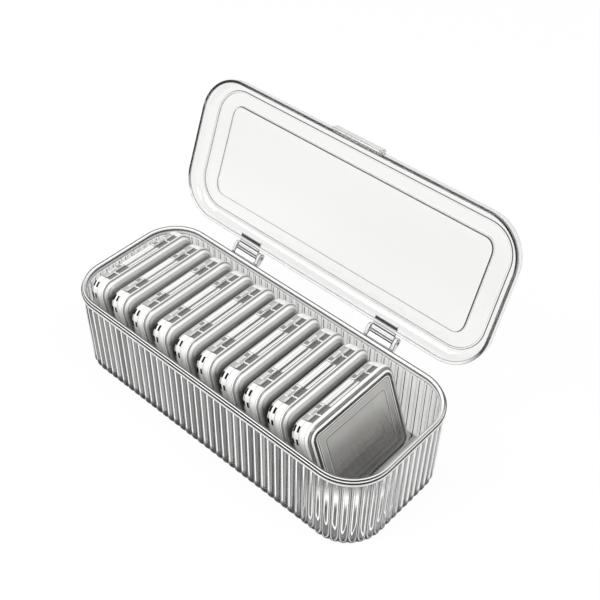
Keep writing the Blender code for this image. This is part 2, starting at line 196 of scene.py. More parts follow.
def clear_plastic(name, colour, roughness, density, pattern=None, clear=1.0):
    """Clear moulded plastic, evenly clear or with a pattern of painted highlight and painted shade.
    """
    material, tree = new_material(name)
    place = add(tree, "ShaderNodeTexCoord").outputs["Object"]
    marks = add(tree, "ShaderNodeTexNoise", Vector=place, Scale=1 / mark_size, Detail=3.0)
    rough = ramp(tree, marks, 0.3, 0.7, roughness * least_rough, roughness * most_rough)
    waves = add(tree, "ShaderNodeTexNoise", Vector=place, Scale=1 / wave_length, Detail=1.0)
    bump = add(tree, "ShaderNodeBump", Strength=wave_strength, Distance=wave_depth,
               Height=waves)
    base = linear(colour)
    if pattern:
        where = add(tree, "ShaderNodeAttribute", {"attribute_name": "mould"})
        spot = add(tree, "ShaderNodeSeparateXYZ", Vector=where.outputs["Vector"])
        scatter, dark, *level = pattern(tree, *spot.outputs)
        # Painted highlights mix the colour towards white, and painted shade towards black.
        pale = add(tree, "ShaderNodeMix", {"data_type": "RGBA"}, _0=scatter, _6=base,
                   _7=linear(painted_highlight_white)).outputs[2]
        base = add(tree, "ShaderNodeMix", {"data_type": "RGBA"}, _0=dark, _6=pale,
                   _7=linear(painted_shade_black)).outputs[2]
        clear = ramp(tree, scatter, 0.0, 1.0, 1.0, 0.0)
        if level:
            out = add(tree, "ShaderNodeAttribute", {"attribute_name": "outward"}).outputs["Vector"]
            same = add(tree, "ShaderNodeVectorMath", {"operation": "DOT_PRODUCT"}, _0=bump, _1=out)
            sign = add(tree, "ShaderNodeMath", {"operation": "SIGN"}, _0=same.outputs["Value"])
            flat = add(tree, "ShaderNodeVectorMath", {"operation": "SCALE"}, _0=out, Scale=sign)
            bump = add(tree, "ShaderNodeMix", {"data_type": "VECTOR"}, _0=level[0], _4=bump,
                       _5=flat).outputs[1]
    shader = add(tree, "ShaderNodeBsdfPrincipled", Base_Color=base, Roughness=rough,
                 IOR=acrylic_bend, Transmission_Weight=clear, Normal=bump)
    soak = add(tree, "ShaderNodeVolumeAbsorption", Color=linear(soaked), Density=density)
    add(tree, "ShaderNodeOutputMaterial", Surface=shader, Volume=soak)
    return material


# %% [markdown]
# ### The box: reeds, round corner and rim
#
# On the box, mould holds a turn through each reed, as a cosine and a sine, so that a crest can
# be told from a groove without a jump where one reed ends. The length of that pair, from one
# to two, tells the front and right walls, which look onto the dark of the filled box, from
# the rear and left ones, which are seen against the light. Its third value runs up the wall,
# over the rim and down the inside, in millimetres. The front and right walls get painted shade
# over their reeds for that dark, and their crests get full painted highlights. The rear and
# left ones get fainter painted highlights and a faint painted light inside.

# %% Reed lines
reed_half = 2.45
outer_wall = (28.0, 23.5, 2.0)
crest_highlight_height = (30.0, 21.5, 3.0)
inner_wall = (88.6, 24.0, 1.0)


def reed_place(tree, crest, slope):
    """Where a point lies across its reed, from -1 to 1, and which way its wall looks."""
    turn = add(tree, "ShaderNodeMath", {"operation": "ARCTAN2"}, _0=slope, _1=crest)
    phase = add(tree, "ShaderNodeMath", {"operation": "DIVIDE"}, _0=turn, _1=pi)
    pair = add(tree, "ShaderNodeCombineXYZ", X=crest, Y=slope)
    side = add(tree, "ShaderNodeVectorMath", {"operation": "LENGTH"}, _0=pair)
    return phase, side.outputs["Value"]


# %% [markdown]
# The reeds of the front right corner end in tall arcs of painted highlight, one inside
# another, where the round of the foot meets the round of the corner. Each reed gets a wide
# arc down to the foot and a narrow one that ends higher or lower from reed to reed. Higher
# up, most reeds get a broad white band of painted highlight, where they gather the light. A
# noise squeezed to 4 mm across the reeds, and the same at all heights, makes them uneven.

# %% Arcs of the round corner
corner_place = (0.102, -0.036, 0.02)
corner_reach = (0.022, 0.036)
arc_shapes = [(None, 1.05, 0.24), (8.5, 1.95, 0.4)]
arc_rise = 36.0
broad_highlight_band = (0.0, 0.3, 0.12)
broad_highlight_height = (50.0, 12.0, 8.0)


def corner_arc_highlights(tree, phase, size, along, uneven):
    """Painted highlight arcs by where they start to close, in mm, their half width and their bend.
    """
    across = within(tree, phase, reed_half)
    start = within(tree, uneven, arc_rise)
    arcs = []
    for low, half, bend in arc_shapes:
        below = add(tree, "ShaderNodeMath", {"operation": "SUBTRACT"}, _0=low or start, _1=along)
        drop = within(tree, strongest(tree, below, 0.0), bend)
        step = add(tree, "ShaderNodeCombineXYZ", X=across, Y=drop)
        off = add(tree, "ShaderNodeVectorMath", {"operation": "LENGTH"}, _0=step).outputs["Value"]
        arcs.append(stripe(tree, off, half, 0.2, 0.16))
    upper = within(tree, stripe(tree, size, *broad_highlight_band), stripe(tree, along, *broad_highlight_height),
                   ramp(tree, uneven, 0.38, 0.48))
    return strongest(tree, *arcs, upper)


# %% [markdown]
# The rim is drawn by rows of a middle, a half width and a tone, in millimetres up the wall
# and over the rim: the plain band, the step above it, the lip, its flat top and the inside.
# Its white bands are painted highlights and its dark lines painted shade. At the rear the same
# rim is seen from within, where fewer and stronger lines show. The tones of the reeds
# themselves are named first, from the painted highlight on the crest to the painted shade at
# the foot.

# %% Box pattern
reed_spread = 0.004
# Painted highlights on the reed crests, wide on the right wall.
narrow_crest_highlight = (0.0, 0.14)
wide_crest_highlight = (0.0, 0.3, 0.1)
right_wall = (1.7, 0.1, 0.1)
# Painted shade in the grooves, and in the gaps between reeds at the round corner.
groove_shade_line, groove_painted_shade = (1.0, 0.06, 0.12), 0.93
corner_gap, corner_gap_painted_shade = (1.0, 0.25, 0.2), 0.5
# Thin lines of painted shade inside the rear and left walls.
inside_shade_line, inside_line_painted_shade = (1.0, 0.09, 0.06), 0.85
# Rear and left walls: fainter painted highlights, faint painted light inside, levelled shading.
rear_painted_highlight, inside_painted_light, levelled = 0.35, 0.15, 0.9
# Painted shade darkening the foot.
foot_shade = (2.5, 8.0, 0.8, 0.0)
# The rim's white bands are painted highlights, its lines painted shade.
rim_highlights = [(55.95, 3.4, 0.96), (61.0, 1.7, 0.96)]
rim_shade_lines = [(52.35, 0.35, 0.9), (53.5, 0.55, 0.3), (54.8, 0.62, 1.0), (60.2, 0.65, 0.85),
             (62.8, 0.22, 0.9)]
front_rim_shade_lines = [(56.78, 0.5, 1.0), (58.45, 0.5, 0.85)]
rear_rim_shade_lines = [(57.3, 0.4, 0.9)]


def box_pattern(tree, crest, slope, along):
    """Painted highlights on each crest and arc, painted shade in grooves and at the foot, rim
    lines.
    """
    place = add(tree, "ShaderNodeTexCoord").outputs["Object"]
    phase, side = reed_place(tree, crest, slope)
    size = add(tree, "ShaderNodeMath", {"operation": "ABSOLUTE"}, _0=phase)
    forward, backward = ramp(tree, side, 1.1, 1.9), ramp(tree, side, 1.1, 1.9, 1.0, 0.0)
    squeezed = add(tree, "ShaderNodeMapping", Vector=place,
                   Scale=(1 / reed_spread, 1 / reed_spread, 0))
    uneven = add(tree, "ShaderNodeTexNoise", Vector=squeezed, Scale=1.0)
    off = add(tree, "ShaderNodeVectorMath", {"operation": "DISTANCE"}, _0=place, _1=corner_place)
    corner = ramp(tree, off.outputs["Value"], *corner_reach, 1.0, 0.0)
    straight = ramp(tree, off.outputs["Value"], *corner_reach)

    wall, inside = stripe(tree, along, *outer_wall), stripe(tree, along, *inner_wall)
    groove, thin_shade_line = stripe(tree, size, *groove_shade_line), stripe(tree, size, *inside_shade_line)
    # Painted highlights on the crests, wider on the right wall, kept to the straight walls.
    crest_highlights = within(tree, strongest(tree, stripe(tree, size, *narrow_crest_highlight),
                                    within(tree, stripe(tree, size, *wide_crest_highlight),
                                           stripe(tree, side, *right_wall))),
                    stripe(tree, along, *crest_highlight_height), wall, straight)
    arcs = within(tree, corner_arc_highlights(tree, phase, size, along, uneven), wall, corner)
    white = strongest(tree, crest_highlights, arcs)
    # White scatter: painted highlights, faint painted light inside, and the rim's white bands.
    scatter = strongest(tree, within(tree, white, strongest(tree, forward, rear_painted_highlight)),
                        within(tree, strongest(tree, thin_shade_line, inside_painted_light), inside, backward),
                        lines(tree, along, rim_highlights))
    # Painted shade: grooves, corner gaps, front and right reed bodies, inside lines, rim, foot.
    dark = strongest(tree, within(tree, groove, wall, forward, groove_painted_shade),
                     within(tree, stripe(tree, size, *corner_gap), wall, corner, corner_gap_painted_shade),
                     within(tree, ramp(tree, uneven, 0.35, 0.6, 0.46, 0.84), wall, forward,
                            ramp(tree, white, 0.0, 1.0, 1.0, 0.0)),
                     within(tree, thin_shade_line, inside, backward, inside_line_painted_shade),
                     lines(tree, along, rim_shade_lines), ramp(tree, along, *foot_shade),
                     within(tree, lines(tree, along, front_rim_shade_lines), forward),
                     within(tree, lines(tree, along, rear_rim_shade_lines), backward))
    return scatter, dark, within(tree, wall, backward, levelled)


# %% [markdown]
# ### The mini cases: borders, faces and hinge blocks
#
# On a mini case, mould is simply the place on the case in millimetres: its depth, the way
# across it, and the height from its hinge axis. The narrow sides are white, painted light that
# is strongest at the top, and near each end lies a hinge block whose pockets, seen through the
# wall, are painted as two rows of grey windows of painted shade. Each mark is a row: its
# middle and half width in depth, the same across, and a tone.

# %% Marks on the narrow sides
top_only = 2.0
all_round = 40.0
case_marks = {
    # The windows are painted shade where the hollow pockets lie behind the wall.
    "windows": [(2.1, 1.8, 15.4, 3.6, 0.82), (2.3, 1.6, 22.9, 2.9, 0.82),
                (-2.5, 1.3, 14.2, 1.5, 0.7), (-1.9, 1.6, 18.6, 2.2, 0.28),
                (-2.4, 1.4, 23.6, 2.0, 0.5)],
    "block edges": [(0.0, 3.6, 11.5, 0.2, 0.6), (0.15, 0.12, 18.6, 7.0, 0.6),
                    (0.0, 3.9, 25.9, 0.2, 0.7)],
    "lines between": [(3.8, 0.16, 0.0, 11.5, 0.85), (2.4, 0.12, 0.0, 11.0, 0.6),
                      (0.3, 0.2, 0.0, 11.0, 0.3), (-1.4, 0.2, 0.0, 11.0, 0.3)],
    "seam": [(-3.95, 0.14, 0.0, all_round, 0.75)]}


def side_marks(tree, depth, away, height):
    marks = []
    for middle, half, out, reach, tone in sum(case_marks.values(), []):
        down = stripe(tree, height, 1.0, all_round if reach == all_round else top_only)
        marks.append(within(tree, stripe(tree, away, out, reach, 0.15),
                            stripe(tree, depth, middle, half, 0.12), down, tone))
    return strongest(tree, *marks)


print("Marks on a case:", {name: len(rows) for name, rows in case_marks.items()})

# %% [markdown]
# Both halves slope from the narrow side to the face. In the row, that slope starts with a
# white edge line and falls into painted shade, the shade of the next case, and the whole case
# is painted lighter towards its top. The last case is seen from the front, so its face stays
# clear, inside a white border of painted light and fine rings along its outline.

# %% Case pattern
# Border and slope start: painted light and highlights; the border line: painted shade.
border, border_painted_light = (0.0, 4.1, 0.2), 0.88
border_edge_highlight = (4.5, 0.25, 0.15)
border_line, border_painted_shade = (4.15, 0.1, 0.1), 0.5
slope_start = (5.2, 0.35, 0.2)
face_middle = 27.25


def case_places(tree, depth, across, height):
    """Distances from the middle of a case, the fade of the border's painted light downwards, and
    the sloped faces.
    """
    deep = add(tree, "ShaderNodeMath", {"operation": "ABSOLUTE"}, _0=depth)
    away = add(tree, "ShaderNodeMath", {"operation": "ABSOLUTE"}, _0=across)
    return deep, away, ramp(tree, height, -36.0, -14.0, 0.45, 1.0), ramp(tree, deep, 5.2, 6.2)


def row_case_pattern(tree, depth, across, height):
    deep, away, fade, slope = case_places(tree, depth, across, height)
    # Painted shade on the slope, darker lower down, towards the next case.
    shaded = within(tree, ramp(tree, height, -8.0, -1.0, 0.65, 0.0), slope,
                    ramp(tree, height, -22.0, -11.0, 0.35, 1.0))
    # Painted light: the border fading downwards, its edge, a whiter top and bands on the slope.
    scatter = strongest(tree, within(tree, stripe(tree, deep, *border), border_painted_light, fade),
                        within(tree, stripe(tree, deep, *border_edge_highlight), fade),
                        ramp(tree, height, -16.0, 1.0, 0.0, 0.6),
                        within(tree, stripe(tree, deep, *slope_start), 0.6, fade),
                        within(tree, stripe(tree, deep, 6.1, 0.4, 0.2), 0.9, fade))
    # Painted shade at the slope's start, along the border line and on the slope, with the marks.
    dark = strongest(tree, within(tree, stripe(tree, deep, *slope_start), 0.55),
                     within(tree, stripe(tree, deep, *border_line), border_painted_shade), shaded,
                     side_marks(tree, depth, away, height))
    return scatter, dark


# %% [markdown]
# The rings on the last case's face follow its outline, as painted highlights and painted
# shade. Each is a row: how far in it lies, its radius at the corners, a half width and a tone,
# all but the tone in millimetres.

# %% Rings on the last case
ring_straight = (26.3, 19.75)
# The first rings are painted highlights, the second painted shade.
ring_highlights = [(0.0, 2.75, 0.2, 0.9), (0.0, 1.5, 0.12, 0.8), (5.0, 2.75, 0.25, 0.55)]
ring_shades = [(0.0, 2.1, 0.2, 0.7), (5.0, 2.1, 0.2, 0.6)]


def face_rings(tree, away, height, rows):
    """Rings by how far in they lie, their radius at the corners, a half width and a tone."""
    off = add(tree, "ShaderNodeMath", {"operation": "ADD"}, _0=height, _1=face_middle)
    upright = add(tree, "ShaderNodeMath", {"operation": "ABSOLUTE"}, _0=off)
    rings = []
    for inset, radius, half, tone in rows:
        place = add(tree, "ShaderNodeCombineXYZ", X=away, Y=upright)
        past = add(tree, "ShaderNodeVectorMath", {"operation": "SUBTRACT"}, _0=place,
                   _1=(ring_straight[0] - inset, ring_straight[1] - inset, 0.0))
        outside = add(tree, "ShaderNodeVectorMath", {"operation": "MAXIMUM"}, _0=past,
                      _1=(0.0, 0.0, 0.0))
        length = add(tree, "ShaderNodeVectorMath", {"operation": "LENGTH"}, _0=outside)
        rings.append(within(tree, stripe(tree, length.outputs["Value"], radius, half, 0.12), tone))
    return strongest(tree, *rings)


def end_case_pattern(tree, depth, across, height):
    deep, away, fade, slope = case_places(tree, depth, across, height)
    # Painted light on the border, painted highlights in bands and rings.
    scatter = strongest(tree, within(tree, stripe(tree, deep, *border), border_painted_light, fade),
                        within(tree, stripe(tree, deep, *border_edge_highlight), fade),
                        within(tree, stripe(tree, deep, 5.15, 0.35, 0.1), 0.9, fade),
                        within(tree, stripe(tree, deep, 6.95, 0.3, 0.1), 0.9, fade),
                        within(tree, face_rings(tree, away, height, ring_highlights), slope))
    # Painted shade in fine lines and rings, and over the lower part of the face.
    dark = strongest(tree, within(tree, stripe(tree, deep, 7.345, 0.03, 0.01), 0.8),
                     within(tree, stripe(tree, deep, *border_line), border_painted_shade),
                     within(tree, stripe(tree, deep, 6.05, 0.4, 0.2), 0.3),
                     within(tree, face_rings(tree, away, height, ring_shades), slope),
                     within(tree, ramp(tree, height, -42.0, -16.0, 0.55, 0.0), slope),
                     side_marks(tree, depth, away, height))
    return scatter, dark


# %% [markdown]
# ### The lid: lines at its steps
#
# On the lid, mould holds the way a point faces, and how far it lies along the section, from
# the panel on top, down over the shoulder, round the lip and back under the panel. Thin dark
# lines of painted shade follow its steps, and the lip on the hinge side is pale, a painted
# highlight.

# %% Lid pattern
# Lines of painted shade at the steps, and a painted highlight on the lip.
step_shade_lines = [(0.47, 0.25, 0.4), (22.2, 0.3, 0.75), (24.2, 0.3, 0.6), (34.35, 0.42, 0.85),
              (35.9, 0.35, 0.55), (44.43, 0.55, 0.92)]
step_white = 0.8
lip_highlight_place, lip_highlight = (23.2, 0.6, 0.1), 0.85


def lid_pattern(tree, side, front, along):
    steps = lines(tree, along, step_shade_lines)
    lip = within(tree, stripe(tree, along, *lip_highlight_place), ramp(tree, front, 0.3, 0.8), lip_highlight)
    return strongest(tree, within(tree, steps, step_white), lip), steps


# %% [markdown]
# ### Plastics by name
#
# The small parts need no pattern. Their thin moulding scatters evenly, so they are only partly
# clear, and the softened edges of the tab, the ears and the leaves get painted shade, a darker
# plastic of their own, because a rounded edge shows the dark of the room.

# %% The plastics
box_plastic = clear_plastic("moulded_acrylic_box", "#f4f4f3", 0.02, 30, box_pattern)
lid_plastic = clear_plastic("moulded_acrylic_lid", "#fbfbfa", 0.02, 30, lid_pattern)
case_plastic = clear_plastic("moulded_acrylic_case", "#f0eee7", 0.02, 60, row_case_pattern)
end_plastic = clear_plastic("moulded_acrylic_end_case", "#f4f2ec", 0.02, 60, end_case_pattern)
tab_plastic = clear_plastic("moulded_acrylic_tab", "#f8f8f7", 0.02, 30, clear=0.4)
ear_plastic = clear_plastic("moulded_acrylic_ear", "#f6f6f6", 0.02, 30, clear=0.35)
hinge_plastic = clear_plastic("moulded_acrylic_hinge", "#fafafa", 0.03, 60, clear=0.15)
# Two plastics of painted shade for rounded edges, darker and lighter.
edge_painted_shade = clear_plastic("moulded_edge_painted_shade", "#3f3f3f", 0.05, 60, clear=0.2)
light_edge_painted_shade = clear_plastic("moulded_edge_light_painted_shade", "#939393", 0.05, 60, clear=0.2)
print("Plastics:", ", ".join(material.name for material in bpy.data.materials))

# %% [markdown]
# ### Drawn steel wire
#
# The hinge pins are cut from drawn wire, whose dies leave fine scratches along it. A noise
# squeezed across the wire and stretched along X gives them. Real scratches are finer than the
# quarter of a millimetre used here, but they would not show.

# %% Steel
steel, tree = new_material("drawn_steel_wire")
place = add(tree, "ShaderNodeTexCoord").outputs["Object"]
scratch_length, scratch_width = 0.007, 0.00025
along = add(tree, "ShaderNodeMapping", Vector=place,
            Scale=(1 / scratch_length, 1 / scratch_width, 1 / scratch_width))
scratches = add(tree, "ShaderNodeTexNoise", Vector=along, Scale=1.0, Detail=2.0)
rough = ramp(tree, scratches, 0.0, 1.0, 0.2, 0.4)
shader = add(tree, "ShaderNodeBsdfPrincipled", Base_Color=linear("#c9cacb"), Metallic=1.0,
             Roughness=rough)
add(tree, "ShaderNodeOutputMaterial", Surface=shader)
print("Scratches are", scratch_width * 1000, "mm wide")

# %% [markdown]
# ### The shade in a slot
#
# The slots in the mini cases' corners are cut right into the dark behind the wall. Plastic
# this thin would let light into them, so their walls get painted shade instead: a soot grey,
# matt colour.

# %% Slot shade
shade, tree = new_material("slot_painted_shade")
place = add(tree, "ShaderNodeTexCoord").outputs["Object"]
grain = add(tree, "ShaderNodeTexNoise", Vector=place, Scale=1 / mark_size)
rough = ramp(tree, grain, 0.0, 1.0, 0.6, 0.9)
shader = add(tree, "ShaderNodeBsdfPrincipled", Base_Color=linear("#141414"), Roughness=rough)
add(tree, "ShaderNodeOutputMaterial", Surface=shader)

# %% [markdown]
# ## Drawing a dish
#
# The box, the lid and both halves of a mini case are all dishes: a rounded rectangle drawn
# up one side of a wall and down the other. So one function makes the rectangle, by bevelling
# the corners of a plate, and another extrudes its edge from ring to ring of a profile. A ring
# is an inset from the plate's edge and a height. This way each wall has its real thickness,
# and each point can note in mould which way it faces and how far along the section it lies.

# %% Plate and dish
mm = 0.001


def rounded_plate(length, width, corner, corner_steps, long_steps=1, short_steps=1):
    """Edges of a rounded rectangle whose long and short sides are cut into equal steps."""
    shape = bmesh.new()
    bmesh.ops.create_grid(shape, x_segments=1, y_segments=1, size=0.5)
    bmesh.ops.scale(shape, vec=(length, width, 1), verts=shape.verts)
    bmesh.ops.bevel(shape, geom=shape.verts[:], offset=corner, segments=corner_steps,
                    affect="VERTICES", profile=0.5, material=-1)
    bmesh.ops.delete(shape, geom=shape.faces[:], context="FACES_ONLY")
    for axis, steps in ((0, long_steps), (1, short_steps)):
        sides = [edge for edge in shape.edges if edge.calc_length() > corner / 2
                 and abs(edge.verts[0].co[1 - axis] - edge.verts[1].co[1 - axis]) < corner / 1000]
        if steps > 1:
            bmesh.ops.subdivide_edges(shape, edges=sides, cuts=steps - 1)
    return shape


def dish(size, shape, profile, swell=None):
    """Extrudes a rounded plate's edge from ring to ring of a profile and closes both ends."""
    length, width, corner = size
    half_long, half_wide = length / 2 - corner, width / 2 - corner
    mould = shape.verts.layers.float_vector.new("mould")
    away = shape.verts.layers.float_vector.new("outward")
    ring = shape.edges[:]
    bmesh.ops.edgeloop_fill(shape, edges=ring)
    along, last = 0.0, profile[0]
    for count, (inset, height, *reed) in enumerate(profile):
        along += sqrt((inset - last[0]) ** 2 + (height - last[1]) ** 2)
        last = (inset, height)
        if count:
            made = bmesh.ops.extrude_edge_only(shape, edges=ring)["geom"]
            verts = {part for part in made if isinstance(part, bmesh.types.BMVert)}
            ring = [part for part in made if isinstance(part, bmesh.types.BMEdge)
                    and verts.issuperset(part.verts)]
        for vert in {vert for edge in ring for vert in edge.verts}:
            core = Vector((min(half_long, max(-half_long, vert.co.x)),
                           min(half_wide, max(-half_wide, vert.co.y)), 0))
            outward = (Vector((vert.co.x, vert.co.y, 0)) - core).normalized()
            reach = corner - inset * mm
            facing = outward.xy
            if swell:
                facing, share = swell(core, outward, half_long, half_wide)
                reach -= reed[0] * mm * (1 - share)
            vert.co = core + outward * reach + Vector((0, 0, height * mm))
            vert[mould] = (facing[0], facing[1], along)
            vert[away] = outward
    bmesh.ops.edgeloop_fill(shape, edges=ring)
    bmesh.ops.recalc_face_normals(shape, faces=shape.faces)
    return shape


def new_piece(name, shape, material, body, nodes=(), crease=35):
    """Makes a finished object from a bmesh, smooth but for creases, and puts it on its body."""
    mesh = bpy.data.meshes.new(name)
    shape.to_mesh(mesh)
    shape.free()
    return dress(name, mesh, material, body, nodes, crease)


def dress(name, mesh, material, body, nodes=(), crease=35):
    """Makes a finished object from a mesh, with its finish, its body and the nodes it replaces."""
    piece = bpy.data.objects.new(name, mesh)
    bpy.context.scene.collection.objects.link(piece)
    if not mesh.materials:
        for finish in material if isinstance(material, list) else [material]:
            mesh.materials.append(finish)
    mesh.shade_smooth()
    mesh.set_sharp_from_angle(angle=radians(crease))
    level = piece.modifiers.new("flat_faces_stay_flat", "WEIGHTED_NORMAL")
    level.keep_sharp = True
    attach(piece, body)
    if nodes:
        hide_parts(*nodes)
    return piece


def arc_rings(inset, height, radius, start, end, steps):
    """Rings of a profile along an arc, by its centre, in degrees from straight out to up."""
    turns = [radians(start + (end - start) * step / steps) for step in range(steps + 1)]
    return [(inset - radius * cos(t), height + radius * sin(t)) for t in turns]


# %% [markdown]
# ## The reeded box
#
# The wall is a ring of 116 even, rounded reeds, nearly 5 mm apart. A reed is an arc across its
# pitch, so the swell at a point follows from how far round the wall it lies. The reeds run
# down into the rounded foot and fade there, which leaves the scalloped edge. A plain band at
# the top carries the rim. The walk starts from a circle of twelve points to a reed, each
# moved to its place on the rounded rectangle, so that every reed gets the same points.

# %% Box
rim_size = (220 * mm, 88 * mm, 25 * mm)
reed_count = 116
reed_corner = 23.6 * mm
points_per_reed = 12
box_height = 55.0
box_wall = 2.9
box_floor = 2.5
floor_round = 3
foot_inset, foot_rise = 2.2, 2.8
reed_depth = 0.9
arc_share = 0.65


def reed_walk(half_long, half_wide, corner):
    """Evenly spaced points round the box, from the middle of its right end, as one edge loop."""
    shape = bmesh.new()
    bmesh.ops.create_circle(shape, segments=reed_count * points_per_reed, radius=1)
    quarter = corner * pi / 2
    legs = [half_wide, quarter, 2 * half_long, quarter, 2 * half_wide, quarter, 2 * half_long,
            quarter, half_wide]
    for index, vert in enumerate(shape.verts):
        left = sum(legs) * index / len(shape.verts)
        place, heading = Vector((half_long + corner, 0, 0)), 0.0
        for leg, bend in zip(legs, [0, pi / 2] * 4 + [0]):
            part = min(left, leg)
            outward = Vector((cos(heading), sin(heading), 0))
            if bend:
                heading += bend * part / leg
                place += corner * (Vector((cos(heading), sin(heading), 0)) - outward)
            else:
                place += part * Vector((-sin(heading), cos(heading), 0))
            left -= part
            if left <= 0:
                break
        vert.co = place
    return shape


def reed_swell(core, outward, half_long, half_wide):
    """The turn through a reed, zero on its crest, and the swell out of its groove, up to one."""
    bend = atan2(outward.y, outward.x) % (2 * pi) / (pi / 2)
    straight = (half_long + core.y - core.x,
                2 * half_wide + half_long - core.x - core.y,
                2 * half_wide + 3 * half_long + core.x - core.y,
                4 * half_wide + 3 * half_long + core.x + core.y)[int(bend) % 4]
    quarter = reed_corner * pi / 2
    lap = 4 * (half_long + half_wide + quarter)
    place = (straight + bend % 4 * quarter) / lap * reed_count
    across = (place % 1 - 0.5) * 2
    rim = sqrt(1 - arc_share ** 2)
    swell = (sqrt(1 - (across * arc_share) ** 2) - rim) / (1 - rim)
    forward = 1 + min(1, max(0, 0.3 + 0.4 * outward.x - 0.75 * outward.y))
    return (forward * cos(across * pi), forward * sin(across * pi)), swell


foot = [(3.3 - foot_inset * sin(radians(t)), foot_rise * (1 - cos(radians(t))),
         reed_depth * sin(radians(t))) for t in (0, 15, 30, 45, 60, 75, 90)]
wall = [(1.1 - 0.6 * share, foot_rise + 48.0 * share, reed_depth)
        for share in (0.25, 0.5, 0.75, 1)]
band = [(0.5, 50.8, 0.0), (0.3, 50.8), (0.08, 50.88), (0.0, 51.1), (0.0, 53.4), (0.1, 53.55),
        (0.5, 53.6), (0.62, 53.7), (0.65, 54.6)]
top = [(0.75, 54.9), (1.0, box_height), (2.4, box_height), (2.75, 54.87), (box_wall, 54.5)]
inside = [(box_wall, 30.0)] + [(box_wall + floor_round * (1 - cos(radians(t))),
                                box_floor + floor_round * (1 - sin(radians(t))))
                               for t in (0, 18, 36, 54, 72, 90)]
profile = foot + wall + band + top + inside
profile = [(ring[0], ring[1], ring[2] if len(ring) > 2 else 0.0) for ring in profile]
loop = reed_walk(rim_size[0] / 2 - rim_size[2], rim_size[1] / 2 - rim_size[2], reed_corner)
tub = dish(rim_size, loop, profile, reed_swell)
along = [0.0]
for ring, last in zip(profile[1:], profile):
    along.append(along[-1] + sqrt((ring[0] - last[0]) ** 2 + (ring[1] - last[1]) ** 2))
print("The rim's rings lie at", [round(step, 1) for step in along if 50 < step < 66], "mm")
print("The reeded box has", len(tub.faces), "faces")
new_piece("reeded_box", tub, box_plastic, "box", ["box_body"], 32)

# %% [markdown]
# ## The main lid
#
# The lid is a shallow dish with a soft shoulder and a panel that sits a little lower than its
# border. It is drawn shut, about the hinge axis, and then swung open with one rotation, so
# that its sizes can be read as they would be off the closed box. The panel's edge lies further
# from the lid's ends than from its sides, so its rings are drawn further in there.

# %% Lid
hinge_y, hinge_z = 48.5 * mm, 57 * mm
open_turn = radians(111)
swing = Matrix.Translation((0, hinge_y, hinge_z)) @ Matrix.Rotation(-open_turn, 4, "X")
lid_size = (219 * mm, 87 * mm, 24.5 * mm)
lid_base = 55.3
panel_ends = 2.6
panel = [(15.4, 8.2, panel_ends), (15.3, 8.25, panel_ends), (15.2, 8.95, panel_ends),
         (15.1, 9.0, panel_ends)]
shoulder = [(6.6, 9.0)] + arc_rings(6.0, 3.0, 6.0, 90, 0, 10)
edge = [(0.0, 0.35), (0.1, 0.1), (0.35, 0.0), (1.45, 0.0), (1.7, 0.1), (1.8, 0.35)]
hollow = arc_rings(6.0, 3.0, 4.2, 0, 90, 8)
bead = [(6.6, 7.2), (6.65, 6.7), (7.6, 6.65), (7.65, 7.2)]
under = [(15.5, 7.2, panel_ends), (15.6, 7.15, panel_ends), (15.7, 6.45, panel_ends),
         (15.8, 6.4, panel_ends), (17.0, 6.4, panel_ends)]


def end_swell(core, outward, half_long, half_wide):
    """Draws a ring further in at the two ends of the lid, and not at its long sides."""
    return outward.xy, 1 - outward.x ** 2


profile = [(ring[0], ring[1], ring[2] if len(ring) > 2 else 0.0)
           for ring in panel + shoulder + edge + hollow + bead + under]
lid_shape = dish(lid_size, rounded_plate(*lid_size, 24), profile, end_swell)
bmesh.ops.translate(lid_shape, vec=(0, -hinge_y, lid_base * mm - hinge_z), verts=lid_shape.verts)
bmesh.ops.transform(lid_shape, matrix=swing, verts=lid_shape.verts)
print("The lid has", len(lid_shape.faces), "faces")
new_piece("main_lid_shell", lid_shape, lid_plastic, "main_lid", ["main_lid"])


# %% [markdown]
# ## Finger tab and hinges
#
# These are prisms: a side view of a few points, extruded along the box and softly bevelled.
# The tab hooks over the front of the rim. Each main hinge is a ribbed leaf between two ears:
# the ears stand on the rim, and the leaf is a clip on the lid, with ribs across it and a heel
# that stops the lid when it is open. The steel pin through them is the frame's own.

# %% Prisms
def prism(points, width, middle, soften, steps=2):
    """Extrudes a side view, in Y and Z, to a width about a middle and bevels its edges."""
    shape = bmesh.new()
    verts = [shape.verts.new((middle - width / 2, y * mm, z * mm)) for y, z in points]
    face = shape.faces.new(verts)
    made = bmesh.ops.extrude_face_region(shape, geom=[face])["geom"]
    moved = [part for part in made if isinstance(part, bmesh.types.BMVert)]
    bmesh.ops.translate(shape, vec=(width, 0, 0), verts=moved)
    bmesh.ops.recalc_face_normals(shape, faces=shape.faces)
    return outlined(shape, soften, steps)


def outlined(shape, soften, steps=2):
    """Bevels the sharp edges of a piece and gives the bevels its second finish."""
    edges = [edge for edge in shape.edges if edge.calc_face_angle(0) > radians(25)]
    rounded = bmesh.ops.bevel(shape, geom=edges, offset=soften * mm, segments=steps, affect="EDGES",
                              profile=0.5, material=-1)["faces"]
    for face in rounded:
        face.material_index = 1
    return shape


# %% Finger tab
tab_view = [(-42.4, 59.9), (-42.4, 55.6), (-44.4, 55.6), (-44.4, 52.4), (-44.9, 52.4),
            (-45.8, 52.9), (-45.8, 58.5), (-44.4, 59.9)]
tab = prism(tab_view, 33 * mm, 0, 0.25)
bmesh.ops.translate(tab, vec=(0, -hinge_y, -hinge_z), verts=tab.verts)
bmesh.ops.transform(tab, matrix=swing, verts=tab.verts)
print("The finger tab has", len(tab.faces), "faces")
new_piece("finger_tab", tab, [tab_plastic, light_edge_painted_shade], "main_lid", ())


